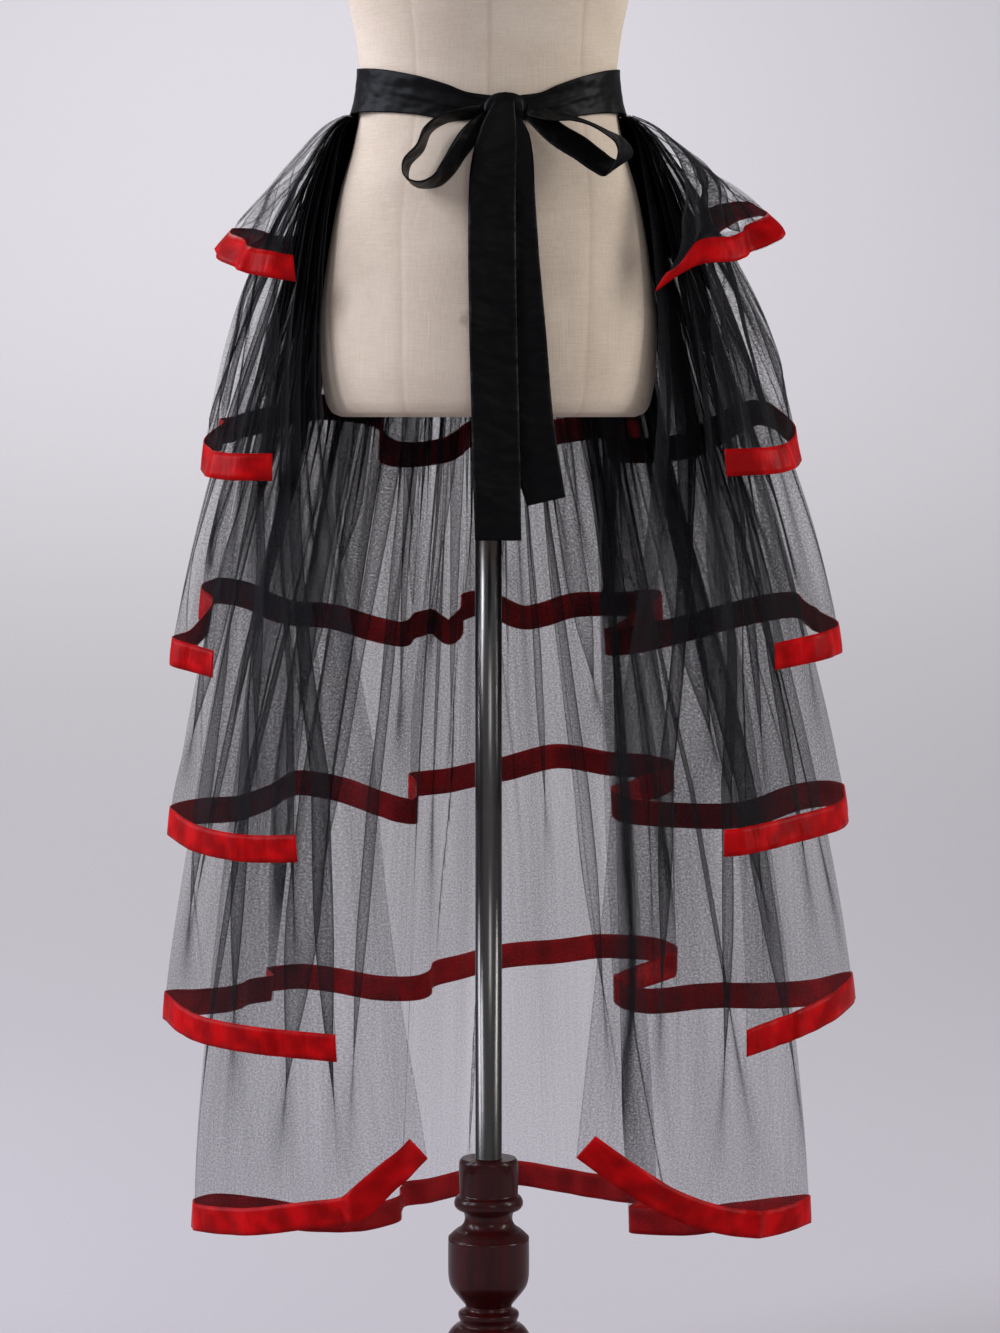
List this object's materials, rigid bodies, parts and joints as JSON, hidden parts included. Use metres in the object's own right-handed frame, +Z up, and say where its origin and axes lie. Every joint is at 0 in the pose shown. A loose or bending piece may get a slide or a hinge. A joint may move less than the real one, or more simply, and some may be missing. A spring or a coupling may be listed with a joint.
{
  "type": "tiered tulle bustle skirt on a limbless dress form",
  "caption": "Black tulle bustle skirt, open at the front, with red satin hem ribbons and a tied black sash, on a linen dress form with a turned wood stand.",
  "frame": {"origin": "middle of the stand's underside, on the axis of its pole", "axes": "+Z up along the pole, -Y out of the front of the garment where the sash is tied, +X to the right as seen from the front"},
  "size_m": [0.6434, 0.4819, 1.738],
  "materials": {
    "tulle": "see-through black net with soft gathers",
    "red_satin": "red satin ribbon with a soft sheen",
    "black_satin": "black satin ribbon with a low sheen",
    "linen": "natural linen cloth, stretched smooth, with narrow seams",
    "dark_wood": "glossy dark red-brown varnish on turned wood",
    "steel": "bright plain steel tube"
  },
  "bodies": {
    "root": {"tulle_tier_1": "tulle", "tulle_tier_2": "tulle", "tulle_tier_3": "tulle", "tulle_tier_4": "tulle", "tulle_tier_5": "tulle", "tulle_tier_6": "tulle", "hem_ribbon_1": "red_satin", "hem_ribbon_2": "red_satin", "hem_ribbon_3": "red_satin", "hem_ribbon_4": "red_satin", "hem_ribbon_5": "red_satin", "hem_ribbon_6": "red_satin", "sash_band": "black_satin", "bow_knot": "black_satin", "loop_left": "black_satin", "loop_right": "black_satin", "tail_front": "black_satin", "tail_back": "black_satin", "form_torso": "linen", "stand_pole": "steel", "stand_column": "dark_wood", "stand_base": "dark_wood"}
  },
  "joints": []
}
